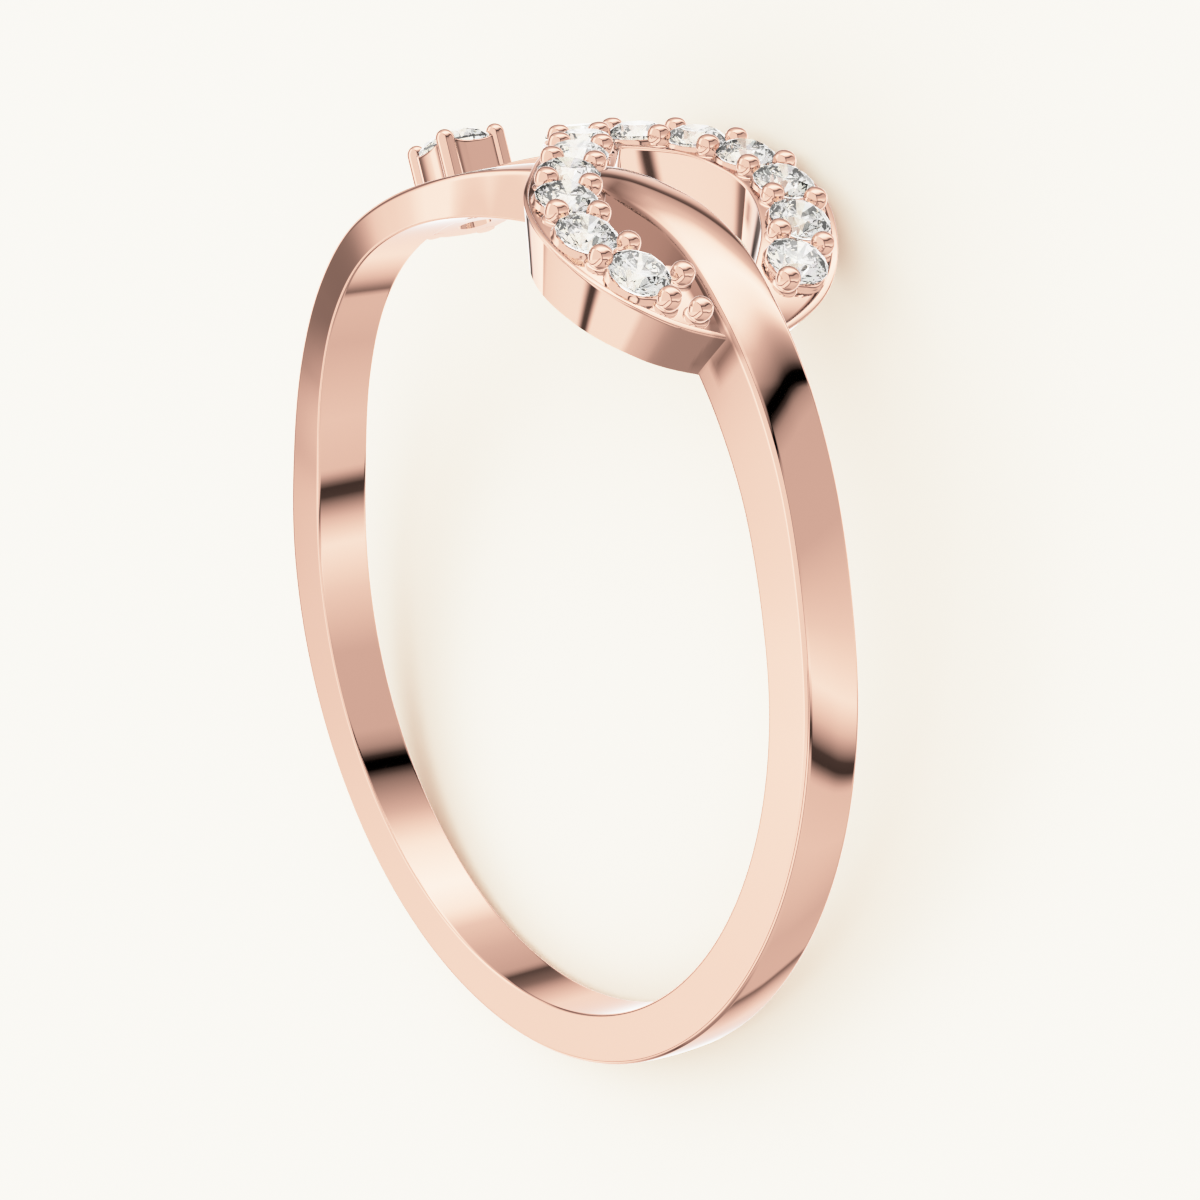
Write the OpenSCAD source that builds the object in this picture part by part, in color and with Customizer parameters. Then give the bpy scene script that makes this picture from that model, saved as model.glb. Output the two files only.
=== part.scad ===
// Knot ring: a narrow band whose top swings aside as a plain ribbon, a stone-set ribbon
// that loops over it, and a small four-prong setting on one shoulder.
// The finger hole's axis is +Z before the ring is laid down, with the knot towards +Y.
// Laid down, the ring rests with its far side on the floor at height 0.
// Places on the ring are an angle round the finger hole, counted from +X towards +Y,
// and a side, the distance along the finger hole's axis from the middle of the band.

/* [Band] */
// Diameter of the finger hole
bore_d = 16.5; // [16:0.1:17]
// Scale of the band's widths
band_scale = 1; // [0.9:0.02:1.1]
// How far the band's outer face is domed above its edges
band_dome = 0.02; // [0.01:0.01:0.05]
// Rounding of the band's two outer edges
band_edge = 0.10; // [0.06:0.01:0.14]
// Bevel along the edges of the finger hole
hole_edge = 0.05; // [0.03:0.01:0.06]
// How much the finger hole widens under the loops, in degrees
hole_flare = 1; // [0.5:0.5:2]
// Steps round the band
band_steps = 96; // [72:12:120]

/* [Stone-set ribbon] */
// Height of the set ribbon's face above the finger hole
set_h = 1.27; // [1.2:0.01:1.32]
// Half of the set ribbon's width at its face
set_half = 0.77; // [0.75:0.01:0.8]
// How much each wall of the set ribbon leans in towards the finger
set_draft = 0.22; // [0.16:0.01:0.26]
// Bevel along the edges of the set ribbon's face
set_bevel = 0.04; // [0.03:0.01:0.06]
// Width of the raised lip along the outer edge of the set ribbon
lip_w = 0.13; // [0.1:0.01:0.15]
// Height of the lip above the floor beside it
lip_h = 0.1; // [0.06:0.01:0.12]
// Depth of the floor below the lip's height at the inner edge
floor_dip = 0.02; // [0.01:0.01:0.04]
// Steps along the set ribbon between two stones
set_steps = 4; // [3:1:5]

/* [Stones] */
// Diameter of the small stones at the girdle
stone_d = 1.25; // [1.2:0.01:1.28]
// Diameter of the single stone in the prongs
solo_d = 1.6; // [1.5:0.05:1.65]
// Clear gap between a stone and the metal
seat_gap = 0.03; // [0.02:0.01:0.05]
// Height of the small stones' girdles above the lip
stone_rise = 0.13; // [0.1:0.01:0.16]
// Radius of the domed beads that hold the small stones
bead_r = 0.24; // [0.22:0.01:0.25]
// Radius of a bead's spread foot
bead_foot = 0.27; // [0.25:0.01:0.3]
// Height of the bead's dome centre above the floor
bead_h = 0.26; // [0.22:0.01:0.28]
// Distance of a bead from the line through the stones
bead_out = 0.42; // [0.4:0.01:0.46]
// The same distance for the beads along the loop's outside from its turn on
bead_far = 0.46; // [0.42:0.01:0.5]

/* [Prong setting] */
// Angle of the setting round the finger hole
solo_angle = 114.75; // [113:0.25:116]
// Side of the setting
solo_side = -0.48; // [-0.6:0.02:-0.4]
// Height of the single stone's girdle above the finger hole
solo_h = 1.71; // [1.66:0.01:1.75]
// Distance from the setting's axis to each prong's axis
prong_out = 0.87; // [0.84:0.01:0.9]
// Radius of a prong
prong_r = 0.195; // [0.17:0.005:0.22]
// Outer radius of the cup between the prongs
cup_r = 0.82; // [0.78:0.01:0.85]
// Radius of the open hole under the single stone
azure_r = 0.36; // [0.3:0.02:0.42]

/* [Resting pose] */
// Tilt of the ring as it lies on the loop and the foot of the band, in degrees
rest_tilt = 11.0; // [10:0.1:12]
// Roll of the ring about the line from foot to knot, in degrees
rest_roll = -1.8; // [-2.5:0.1:0]
// Height of the finger hole's middle above the floor
rest_lift = 2.391; // [2.3:0.001:2.5]
// Shift along the floor that puts the middle of the ring's outline over the origin
rest_shift = -0.54; // [-0.7:0.01:-0.4]

/* [Hidden] */

bore_r = bore_d / 2;
face_r = bore_r + set_h;
floor_r = face_r - lip_h;
stone_r = face_r + stone_rise;
// The swept solids start this far inside the finger hole, which is cut last
under = 0.3;
// The finger hole is cut this long, and its wall is straight between these two sides,
// which lie just past the band's swing
hole_len = 30;
hole_from = -1.4;
hole_to = 1.5;
rose = [0.91, 0.70, 0.60];
clear = [0.93, 0.95, 0.97];

// Course of the band from its foot round to its foot: angle, side, thickness and width
BAND = [
  [-90, 0, 1.07, 1.25], [-45, 0, 1.12, 1.25], [-20, 0, 1.18, 1.25], [0, 0, 1.24, 1.25],
  [15, 0, 1.32, 1.25], [30, -0.13, 1.43, 1.26], [40, -0.24, 1.49, 1.31],
  [50, -0.38, 1.54, 1.37], [60, -0.53, 1.54, 1.42], [67, -0.48, 1.52, 1.44],
  [73, -0.34, 1.45, 1.42], [79, -0.18, 1.35, 1.33], [86, 0.03, 1.17, 1.20],
  [95, 0.42, 0.99, 1.14], [105, 0.77, 0.84, 1.18], [116, 0.86, 0.82, 1.22],
  [126, 0.83, 0.86, 1.25], [140, 0.60, 0.91, 1.25], [155, 0.30, 1.02, 1.25],
  [170, 0.05, 1.17, 1.25], [185, 0, 1.22, 1.25], [225, 0, 1.12, 1.25], [270, 0, 1.07, 1.25]
];

// Small stones in their order along the ribbon: angle, side, and how far past its half
// width the ribbon's outer edge lies there
STONES = [
  [57.9, 1.39, 0.13], [65.5, 1.81, 0.11], [73.2, 1.45, 0.06], [79.6, 0.69, 0],
  [85.6, -0.18, 0], [91.6, -1.03, 0], [98.8, -1.65, 0], [92.8, -2.48, 0],
  [86.2, -3.16, 0], [78.6, -3.46, 0], [70.7, -3.44, 0.02], [63.0, -2.94, 0.03],
  [56.3, -2.15, 0.02]
];
// Number of the stone at the loop's turn, counted from 0
turn = 6;

// The set ribbon's tapered ends: angle and side of the outer edge, then of the inner edge
NEAR_TIP = [
  [46.4, -0.15, 46.7, -0.25], [48.6, 0.82, 51.5, 0.02], [50.4, 1.33, 55.5, 0.12],
  [52.8, 1.78, 58.8, 0.38]
];
FAR_TIP = [
  [50.3, -2.15, 57.0, -1.25], [48.8, -1.69, 53.5, -0.80], [47.6, -1.22, 50.3, -0.62],
  [46.4, -0.62, 46.7, -0.62]
];
// Place where the loop's opening ends, and the radius of its end
CROTCH = [89.0, -1.72];
crotch_r = 0.1;
// The short bar between the prong setting and the loop: angle, side and half width
LINK = [[112.5, -0.80, 0.20], [108.5, -1.12, 0.16], [104.0, -1.42, 0.20], [100.5, -1.62, 0.24]];
// Small pits in the finger hole's wall under the near prongs: angle and side
PITS = [[117.5, 0.21], [112.2, 0.26]];
pit_r = 0.1;
pit_deep = 0.12;
// Beads beyond the last stones: angle and side
END_BEADS = [[56.6, 0.56], [53.3, 1.18], [51.2, 0.67], [53.6, -1.62]];

// Cut of a round brilliant as shares of its diameter
table_share = 0.57;
crown_share = 0.15;
girdle_share = 0.03;
pavilion_share = 0.43;
// Radius share of the star facets' tips and of the lower facets' inner tips
star_share = 0.80;
lower_share = 0.24;

// Smooth curve through column c of a table, whose first column rises from row to row
function row_at(t, a, i = 0) = i >= len(t) - 2 || a < t[i + 1][0] ? i : row_at(t, a, i + 1);
function slope(t, i, c) =
  i == 0 || i == len(t) - 1 ? 0 : (t[i + 1][c] - t[i - 1][c]) / (t[i + 1][0] - t[i - 1][0]);
function smooth(t, a, c) =
  let (i = row_at(t, a), h = t[i + 1][0] - t[i][0], s = (a - t[i][0]) / h)
  t[i][c] * (1 + 2 * s) * (1 - s) * (1 - s) + t[i + 1][c] * s * s * (3 - 2 * s)
  + h * s * (1 - s) * (slope(t, i, c) * (1 - s) - slope(t, i + 1, c) * s);

// Point at an angle, a side and a distance from the finger hole's axis
function place(a, side, r) = [r * cos(a), r * sin(a), side];
// Way from one place to another in millimetres, round the ring and along the axis
function way(p, q) = [(q[0] - p[0]) * PI / 180 * face_r, q[1] - p[1]];
// Direction of travel between two places, as [round, side], of length 1
function heading(p, q) = way(p, q) / norm(way(p, q));
// Place moved by u along the direction h, and across it towards its left
function along(p, h, u) = [p[0] + h[0] * u / face_r * 180 / PI, p[1] + h[1] * u];
function across(p, h, u) = along(p, [-h[1], h[0]], u);

// Edges of a ribbon at row i of a table that starts with angle and side: angle and side
// of the outer edge, which lies out to the left, then of the inner edge
function edge_row(t, i, out, in) =
  let (h = heading(t[max(0, i - 1)], t[min(len(t) - 1, i + 1)]))
  concat(across(t[i], h, out), across(t[i], h, -in));
// Rows of edges with the distance along the outer edge put before each
function measured(rows) = [
  for (i = 0, s = 0; i < len(rows);
       s = s + norm(way(rows[i], rows[min(len(rows) - 1, i + 1)])), i = i + 1)
    concat(s, rows[i])
];

// Solid swept through equal rings of points, closed on itself or capped
module skin(rings, closed = false) {
  n = len(rings[0]);
  m = len(rings);
  walls = [
    for (i = [0 : closed ? m - 1 : m - 2], j = [0 : n - 1])
      let (k = (i + 1) % m, l = (j + 1) % n)
      each [[i * n + j, k * n + l, i * n + l], [i * n + j, k * n + j, k * n + l]]
  ];
  caps = closed ? [] : [
    for (j = [1 : n - 2]) each [[0, j, j + 1], [(m - 1) * n, (m - 1) * n + j + 1, (m - 1) * n + j]]
  ];
  polyhedron(points = [for (ring = rings) each ring], faces = concat(walls, caps));
}

// Outline of the band's section at thickness t and half width w: across and height above
// the finger hole
function band_section(t, w) =
  let (e = band_edge, top = t - band_dome, dip = under + hole_edge)
  [
    [w - dip, -under], [w, hole_edge], [w, top - e], [w - 0.3 * e, top - 0.3 * e],
    [w - e, top], [0, t], [e - w, top],
    [0.3 * e - w, top - 0.3 * e], [-w, top - e], [-w, hole_edge], [dip - w, -under]
  ];

function band_ring(a) =
  let (h = heading([a - 1, smooth(BAND, a - 1, 1)], [a + 1, smooth(BAND, a + 1, 1)]),
       c = [a, smooth(BAND, a, 1)])
  [
    for (q = band_section(smooth(BAND, a, 2), smooth(BAND, a, 3) * band_scale / 2))
      let (p = across(c, h, q[0])) place(p[0], p[1], bore_r + q[1])
  ];

module band() {
  foot = BAND[0][0];
  skin([for (i = [0 : band_steps - 1]) band_ring(foot + 0.001 + i * 360 / band_steps)], true);
}

// Section of a ribbon between the places o on its outer and i on its inner edge, from
// radius low to the top r. Its walls lean in by draft on the way down to the finger hole.
// The floor lies deep below the lip along the outer edge and rises to the inner edge.
function set_section(o, i, r, low, draft, deep) =
  let (w = norm(way(i, o)),
       lean = draft * (r - low) / (r - bore_r),
       b = min(set_bevel, w / 6) / w, l = min(lip_w, w / 4) / w, d = min(lean, w / 4) / w)
  [
    for (q = [[1 - d, low], [1, r - b * w], [1 - b, r], [1 - l, r], [1 - l - b, r - deep],
              [b, r - floor_dip], [0, r - floor_dip - b * w], [d, low]])
      let (p = i + (o - i) * q[0]) place(p[0], p[1], q[1])
  ];

// Ribbon between an outer and an inner edge, which are smooth curves through the rows
module ribbon(rows, r, low, draft, deep, steps) {
  t = measured(rows);
  full = t[len(t) - 1][0];
  count = steps * (len(t) - 1);
  skin([
    for (i = [0 : count])
      let (e = [for (c = [1 : 4]) smooth(t, full * i / count, c)])
      set_section([e[0], e[1]], [e[2], e[3]], r, low, draft, deep)
  ]);
}

// The set ribbon's edges beside stone i. Round the turn the inner edge is a small arc
// about the place where the loop's opening ends.
function stone_row(i) =
  let (e = edge_row(STONES, i, set_half + STONES[i][2], set_half),
       arc = along(CROTCH, heading(CROTCH, STONES[i]), crotch_r))
  abs(i - turn) <= 1 ? [e[0], e[1], arc[0], arc[1]] : e;

module set_ribbon() {
  stones = [for (i = [0 : len(STONES) - 2]) stone_row(i)];
  ribbon(concat(NEAR_TIP, stones, FAR_TIP), face_r, bore_r - under, set_draft, lip_h, set_steps);
}

// Sets children on the ring with their +Z pointing away from the finger
module on_ring(a, side, r) {
  rotate([0, 0, a]) translate([r, 0, side]) rotate([0, 90, 0]) children();
}

// Beads stand in pairs between neighbouring stones, and one fills the inside of the turn
module beads() {
  for (i = [0 : len(STONES) - 2]) {
    middle = (STONES[i] + STONES[i + 1]) / 2;
    h = heading(STONES[i], STONES[i + 1]);
    bead(across(middle, h, i < turn ? bead_out : bead_far));
    if (i != turn - 1 && i != turn) bead(across(middle, h, -bead_out));
  }
  bead((STONES[turn - 1] + STONES[turn] + STONES[turn + 1]) / 3);
  for (p = END_BEADS) bead(p);
}

// Bead with a spread foot, standing on the floor
module bead(p) {
  on_ring(p[0], p[1], floor_r) {
    translate([0, 0, -0.06]) cylinder(h = bead_h + 0.03, r1 = bead_foot, r2 = bead_r * 0.92, $fn = 24);
    translate([0, 0, bead_h]) sphere(r = bead_r, $fn = 24);
  }
}

// Space of a stone of diameter d with the gap round it, its girdle at height 0
module seat(d) {
  r = d / 2 + seat_gap;
  t = d * table_share / 2 + seat_gap;
  c = d * crown_share + seat_gap;
  g = d * girdle_share + seat_gap;
  deep = d * (girdle_share + pavilion_share) + 2 * seat_gap;
  rotate_extrude($fn = 48)
    polygon([[0, -deep], [r, -g], [r, seat_gap], [t, c], [t, 2 * c], [0, 2 * c]]);
}

// Round brilliant of diameter d, its girdle's upper edge at height 0
module brilliant(d) {
  r = d / 2;
  t = r * table_share;
  s = r * star_share;
  l = r * lower_share;
  c = d * crown_share;
  g = d * girdle_share;
  p = d * pavilion_share;
  step = 45;
  half = step / 2;
  star_z = c * (r - s * cos(half)) / (r - t);
  lower_z = -g - p * (1 - l * cos(half) / r);
  pts = concat(
    [for (k = [0 : 7]) [t * cos(k * step), t * sin(k * step), c]],
    [for (k = [0 : 7]) [s * cos(k * step + half), s * sin(k * step + half), star_z]],
    [for (k = [0 : 15]) [r * cos(k * half), r * sin(k * half), 0]],
    [for (k = [0 : 15]) [r * cos(k * half), r * sin(k * half), -g]],
    [for (k = [0 : 7]) [l * cos(k * step + half), l * sin(k * step + half), lower_z]],
    [[0, 0, -g - p]]
  );
  tab = 0;
  star = 8;
  up = 16;
  down = 32;
  low = 48;
  culet = 56;
  faces = concat(
    [[for (k = [7 : -1 : 0]) tab + k]],
    [for (k = [0 : 7]) each let (n = (k + 1) % 8, b = (k + 7) % 8, g0 = 2 * k, g1 = 2 * k + 1,
                                 g2 = (2 * k + 2) % 16)
      [
        [tab + k, tab + n, star + k],
        [tab + k, star + k, up + g0],
        [tab + k, up + g0, star + b],
        [star + k, up + g1, up + g0],
        [star + k, up + g2, up + g1],
        [low + k, down + g0, down + g1],
        [low + k, down + g1, down + g2],
        [culet, down + g0, low + k],
        [culet, low + b, down + g0]
      ]],
    [for (k = [0 : 15]) each let (n = (k + 1) % 16)
      [[up + k, up + n, down + n], [up + k, down + n, down + k]]]
  );
  polyhedron(points = pts, faces = faces);
}

// Cup and four prongs round the single stone, standing on the finger hole's surface
module prong_setting() {
  low = bore_r - under;
  wall_top = bore_r + solo_h - solo_d * girdle_share;
  tip = bore_r + solo_h + solo_d * crown_share;
  on_ring(solo_angle, solo_side, 0) {
    translate([0, 0, low]) cylinder(h = wall_top - low, r = cup_r, $fn = 48);
    for (k = [0 : 3]) rotate([0, 0, 45 + 90 * k]) translate([prong_out, 0, 0]) {
      translate([0, 0, low]) cylinder(h = tip - prong_r - low, r = prong_r, $fn = 24);
      translate([0, 0, tip - prong_r]) sphere(r = prong_r * 1.05, $fn = 24);
    }
  }
}

module link() {
  rows = [for (i = [0 : len(LINK) - 1]) edge_row(LINK, i, LINK[i][2], LINK[i][2])];
  ribbon(rows, bore_r + 1.04, bore_r + 0.7, 0.02, 0.03, 2);
}

// Space of the finger: straight under the band and a little wider under the loops
module finger_hole() {
  end = hole_len / 2;
  rotate_extrude($fn = 180) polygon([
    [0, -end], [bore_r + (end + hole_from) * tan(hole_flare), -end], [bore_r, hole_from],
    [bore_r, hole_to], [bore_r + (end - hole_to) * tan(hole_flare), end], [0, end]
  ]);
}

// All the cast metal in the ring's own pose
module cast_ring() {
  difference() {
    union() {
      band();
      set_ribbon();
      link();
      prong_setting();
      beads();
    }
    finger_hole();
    for (s = STONES) on_ring(s[0], s[1], stone_r) seat(stone_d);
    on_ring(solo_angle, solo_side, bore_r + solo_h) seat(solo_d);
    on_ring(solo_angle, solo_side, 0) cylinder(h = bore_r + solo_h, r = azure_r, $fn = 32);
    for (p = PITS) on_ring(p[0], p[1], 0) cylinder(h = bore_r + pit_deep, r = pit_r, $fn = 16);
  }
}

// Lays a piece down as the ring rests
module lie() {
  translate([0, rest_shift, rest_lift]) rotate([rest_tilt, 0, 0]) rotate([0, rest_roll, 0])
    children();
}

module ring_body() {
  color(rose) lie() cast_ring();
}

module solitaire_stone() {
  color(clear) lie() on_ring(solo_angle, solo_side, bore_r + solo_h) brilliant(solo_d);
}

// Small stone i, counted from 1 at the ribbon's near end, each turned a little in its seat
module set_stone(i) {
  s = STONES[i - 1];
  color(clear) lie() on_ring(s[0], s[1], stone_r) rotate([0, 0, 17 * i]) brilliant(stone_d);
}

ring_body();
solitaire_stone();
set_stone(1);  // set_stone_01
set_stone(2);  // set_stone_02
set_stone(3);  // set_stone_03
set_stone(4);  // set_stone_04
set_stone(5);  // set_stone_05
set_stone(6);  // set_stone_06
set_stone(7);  // set_stone_07
set_stone(8);  // set_stone_08
set_stone(9);  // set_stone_09
set_stone(10);  // set_stone_10
set_stone(11);  // set_stone_11
set_stone(12);  // set_stone_12
set_stone(13);  // set_stone_13
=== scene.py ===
# %% [markdown]
# # A knot ring in polished rose gold
# This lesson dresses one finger ring. A narrow band swings aside at the top, a ribbon set
# with small stones loops over it, and a single stone stands in four prongs on the shoulder.
# The ring lies on its side, as it rests by itself. The frame gives the solid pieces and
# their stones, and their places never change. Everything added here is measured from them.

import math

import bmesh
import bpy
import numpy as np
from mathutils import Matrix


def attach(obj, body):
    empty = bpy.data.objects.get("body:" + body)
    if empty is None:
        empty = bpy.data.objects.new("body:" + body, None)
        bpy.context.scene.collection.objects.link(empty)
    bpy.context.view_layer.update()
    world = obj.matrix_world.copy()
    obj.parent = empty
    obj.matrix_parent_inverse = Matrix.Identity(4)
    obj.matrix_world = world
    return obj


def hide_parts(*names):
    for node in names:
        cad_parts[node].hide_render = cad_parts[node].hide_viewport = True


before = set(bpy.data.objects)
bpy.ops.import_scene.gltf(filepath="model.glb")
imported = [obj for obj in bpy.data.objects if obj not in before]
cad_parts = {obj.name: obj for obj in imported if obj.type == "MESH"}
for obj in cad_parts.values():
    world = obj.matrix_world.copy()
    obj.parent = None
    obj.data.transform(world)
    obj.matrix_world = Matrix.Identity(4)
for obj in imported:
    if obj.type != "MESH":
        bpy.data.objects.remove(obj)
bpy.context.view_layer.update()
stones = sorted(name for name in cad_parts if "stone" in name)

# %% [markdown]
# ## The ring's own measures
# A jeweller thinks round the finger hole: an angle round it, a side along its axis, and a
# height above it. The sizes below are millimetres, and one function carries such a place
# onto the floor where the ring lies, in metres. Working this way keeps the numbers small
# and readable, and the laying down happens in one place only.

# %% Sizes of the ring
MM = 0.001
BORE_R = 8.25
SET_FACE = 1.27
LIP_DROP = 0.10
REST_TILT, REST_ROLL = 11.0, -1.8
REST_LIFT, REST_SHIFT = 2.391, -0.54

# Course of the band: angle, side, thickness and width
BAND = np.array([
    [-90, 0, 1.07, 1.25], [-45, 0, 1.12, 1.25], [-20, 0, 1.18, 1.25], [0, 0, 1.24, 1.25],
    [15, 0, 1.32, 1.25], [30, -0.13, 1.43, 1.26], [40, -0.24, 1.49, 1.31],
    [50, -0.38, 1.54, 1.37], [60, -0.53, 1.54, 1.42], [67, -0.48, 1.52, 1.44],
    [73, -0.34, 1.45, 1.42], [79, -0.18, 1.35, 1.33], [86, 0.03, 1.17, 1.20],
    [95, 0.42, 0.99, 1.14], [105, 0.77, 0.84, 1.18], [116, 0.86, 0.82, 1.22],
    [126, 0.83, 0.86, 1.25], [140, 0.60, 0.91, 1.25], [155, 0.30, 1.02, 1.25],
    [170, 0.05, 1.17, 1.25], [185, 0, 1.22, 1.25], [225, 0, 1.12, 1.25], [270, 0, 1.07, 1.25],
])
# Small stones along the ribbon: angle and side
STONES = np.array([
    [57.9, 1.39], [65.5, 1.81], [73.2, 1.45], [79.6, 0.69], [85.6, -0.18],
    [91.6, -1.03], [98.8, -1.65], [92.8, -2.48], [86.2, -3.16], [78.6, -3.46],
    [70.7, -3.44], [63.0, -2.94], [56.3, -2.15],
])
TURN = 6
# The bar beside the cup: angle, side and half width
LINK = [[112.5, -0.80, 0.20], [108.5, -1.12, 0.16], [104.0, -1.42, 0.20], [100.5, -1.62, 0.24]]
# Beads beyond the last stones: angle and side
END_BEADS = np.array([[56.6, 0.56], [53.3, 1.18], [51.2, 0.67], [53.6, -1.62]])


def lay_matrix():
    """Turn by the roll, then by the tilt, then lift and shift: the ring as it rests."""
    return (Matrix.Translation((0, REST_SHIFT, REST_LIFT))
            @ Matrix.Rotation(math.radians(REST_TILT), 4, "X")
            @ Matrix.Rotation(math.radians(REST_ROLL), 4, "Y"))


LAY = np.array(lay_matrix())


def laid(points):
    """Ring millimetres to metres on the floor: rotation times point, plus the lift."""
    return (points @ LAY[:3, :3].T + LAY[:3, 3]) * MM


def place(angle, side, radius):
    """Point at an angle and a side, at a distance from the finger hole's axis."""
    a = np.radians(angle)
    return np.stack(np.broadcast_arrays(radius * np.cos(a), radius * np.sin(a), side), -1)


print("finger hole", 2 * BORE_R, "mm, laid down at", REST_TILT, "degrees")

# %% [markdown]
# ## The camera
# A product picture of a small thing is taken from far away with a long lens, so that the
# ring isn't stretched. The camera is placed in the ring's own frame, turned round the
# finger hole's axis and raised towards the knot, and then laid down with the ring. It ends
# well above the floor, because it looks at the side that faces up.

# %% Camera
CAMERA_TURN, CAMERA_RISE = 55.404, 16.581
CAMERA_DISTANCE = 80.36
AIM_RIGHT, AIM_UP = 1.018, 0.276
LENS = 117.51


def camera_axes(turn, rise):
    """Axes right, up and backwards of a camera turned from the hole's axis and raised."""
    t, e = math.radians(turn), math.radians(rise)
    back = np.array([math.sin(t) * math.cos(e), math.sin(e), math.cos(t) * math.cos(e)])
    right = np.array([math.cos(t), 0.0, -math.sin(t)])
    return right, np.cross(back, right), back


def add_camera():
    right, up, back = camera_axes(CAMERA_TURN, CAMERA_RISE)
    eye = back * CAMERA_DISTANCE + right * AIM_RIGHT + up * AIM_UP
    pose = np.eye(4)
    pose[:3, :3] = LAY[:3, :3] @ np.stack([right, up, back], 1)
    pose[:3, 3] = laid(eye)
    data = bpy.data.cameras.new("camera")
    data.sensor_width, data.lens = 36, LENS
    data.clip_start, data.clip_end = 0.005, 20
    camera = bpy.data.objects.new("camera", data)
    camera.matrix_world = Matrix(pose.tolist())
    bpy.context.scene.collection.objects.link(camera)
    bpy.context.scene.camera = camera
    return camera


camera = add_camera()
print("camera height above the floor", round(camera.location.z, 4), "m")

# %% [markdown]
# ## Node helpers
# Shader trees are easier to read when each node is one call. The helper below adds a node,
# links the sockets it is given and sets the plain numbers. Everything that follows, from
# the light to the gold, is built with it.

# %% Node helpers


def add_node(tree, kind, *inputs, **settings):
    """Adds a node. Inputs are taken in order: a socket is linked, a number is set."""
    node = tree.nodes.new(kind)
    for name, value in settings.items():
        setattr(node, name, value)
    for socket, value in zip(node.inputs, inputs):
        if isinstance(value, bpy.types.NodeSocket):
            tree.links.new(value, socket)
        elif value is not None:
            socket.default_value = value
    return node


def maths(tree, operation, *inputs):
    """One step of arithmetic, as a socket."""
    return add_node(tree, "ShaderNodeMath", *inputs, operation=operation).outputs[0]


def step(tree, value, start, end, low=0.0, high=1.0):
    """Smooth step of a value from low to high between start and end."""
    node = add_node(tree, "ShaderNodeMapRange", value, start, end, low, high,
                    interpolation_type="SMOOTHSTEP")
    return node.outputs[0]


print("node helpers ready")

# %% [markdown]
# ## Studio light
# A mirror polish shows nothing but its surroundings, so the studio is part of the finish.
# Jewellery is photographed in a light tent: large white panels with narrow dark gaps
# between them. The gaps draw the crisp dark lines that make the metal look polished. Here
# the tent is the world's own shader. It reads only the direction of the light, measured
# round the finger hole's axis, so the same tent serves from every side. Dull surfaces, such
# as paper, get a little more light than mirrors do, which keeps the floor pale.

# %% Studio tent
# Panels round the finger hole's axis: turn in degrees from the tent's right side, brightness
TENT = [
    (-180, 3.0), (-160, 2.9), (-134, 2.5), (-120, 1.1), (-114, 0.25), (-111.5, 1.05),
    (-92, 0.87), (-66, 1.1), (-50, 1.0), (-45.5, 0.05), (-42, 0.07), (-35, 1.0),
    (-27, 1.75), (-12, 1.2), (8, 0.76), (34, 0.74), (39, 0.50), (42.5, 0.0),
    (47, 0.0), (50, 0.30), (60, 0.85), (71, 1.9), (85, 2.5), (94, 2.0),
    (101, 1.15), (112, 0.86), (124.5, 0.72), (128, 0.10), (134.5, 0.28), (141, 1.0),
    (153, 2.1), (180, 3.0),
]
TENT_TURN = 12.0
# The panels narrow with depth: how fast, the depth where they don't, and the limits
TENT_SPREAD, TENT_LEVEL, TENT_LIMITS = 0.9, 0.55, (0.75, 1.25)
BRIGHTEST = 3.0
# Near panel: how far the light points along the ring's own right, brightness
NEAR_PANEL = [
    (-1.0, 0.25), (-0.92, 0.27), (-0.90, 0.33), (-0.87, 0.62), (-0.85, 0.9), (-0.83, 1.28),
    (-0.80, 1.5), (-0.77, 1.6), (-0.745, 1.8), (-0.70, 2.0), (-0.52, 2.0), (-0.48, 1.6),
    (-0.44, 1.3), (1.0, 1.3),
]
# Steps below are: from, to, and the two values that they lead between.
# The near panel's border along the ring's own right, and how softly it ends
NEAR_BORDER, NEAR_SOFT = (-0.85, -0.75, 0.18, 0.40), 0.02
# Low part of the near panel, which is plain: where it ends upwards, and its brightness
NEAR_LOW, NEAR_PLAIN = (-0.38, -0.30), 1.6
# Dark gap along that border, and where it begins towards the right
GAP_EDGE, GAP_START = (0.01, 0.11, 0.15, 1.0), (-0.2, 0.0)
# A dark streak round the low left: the normal of its plane, its edge, its upper end
STREAK, STREAK_EDGE, STREAK_END = (0.364, -0.702, -0.612), (0.01, 0.08, 0.05, 1.0), (-0.20, -0.10)
# A dull card: its middle and its edge
CARD, CARD_EDGE = (-0.22, -0.97, -0.10), (0.90, 0.985, 1.0, 0.45)
SOFT_FILL = 1.75
TENT_TINT = (1.0, 0.985, 0.955, 1.0)


def tent_direction(tree, axis):
    """How far a direction of light points along one axis of the ring, as a socket."""
    coords = add_node(tree, "ShaderNodeTexCoord").outputs["Generated"]
    dot = add_node(tree, "ShaderNodeVectorMath", coords, tuple(LAY[:3, :3] @ np.array(axis)),
                   operation="DOT_PRODUCT")
    return dot.outputs["Value"]


def panel_light(tree, value, table):
    """Brightness by straight lines between the rows (value, brightness) of a short table."""
    low, high = table[0][0], table[-1][0]
    share = add_node(tree, "ShaderNodeMapRange", value, low, high, 0.0, 1.0).outputs[0]
    curve = add_node(tree, "ShaderNodeFloatCurve", 1.0, share)
    points = curve.mapping.curves[0].points
    while len(points) < len(table):
        points.new(0.5, 0.5)
    for point, (at, bright) in zip(points, table):
        point.location = ((at - low) / (high - low), bright / BRIGHTEST)
        point.handle_type = "VECTOR"
    curve.mapping.update()
    return maths(tree, "MULTIPLY", curve.outputs[0], BRIGHTEST)


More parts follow.
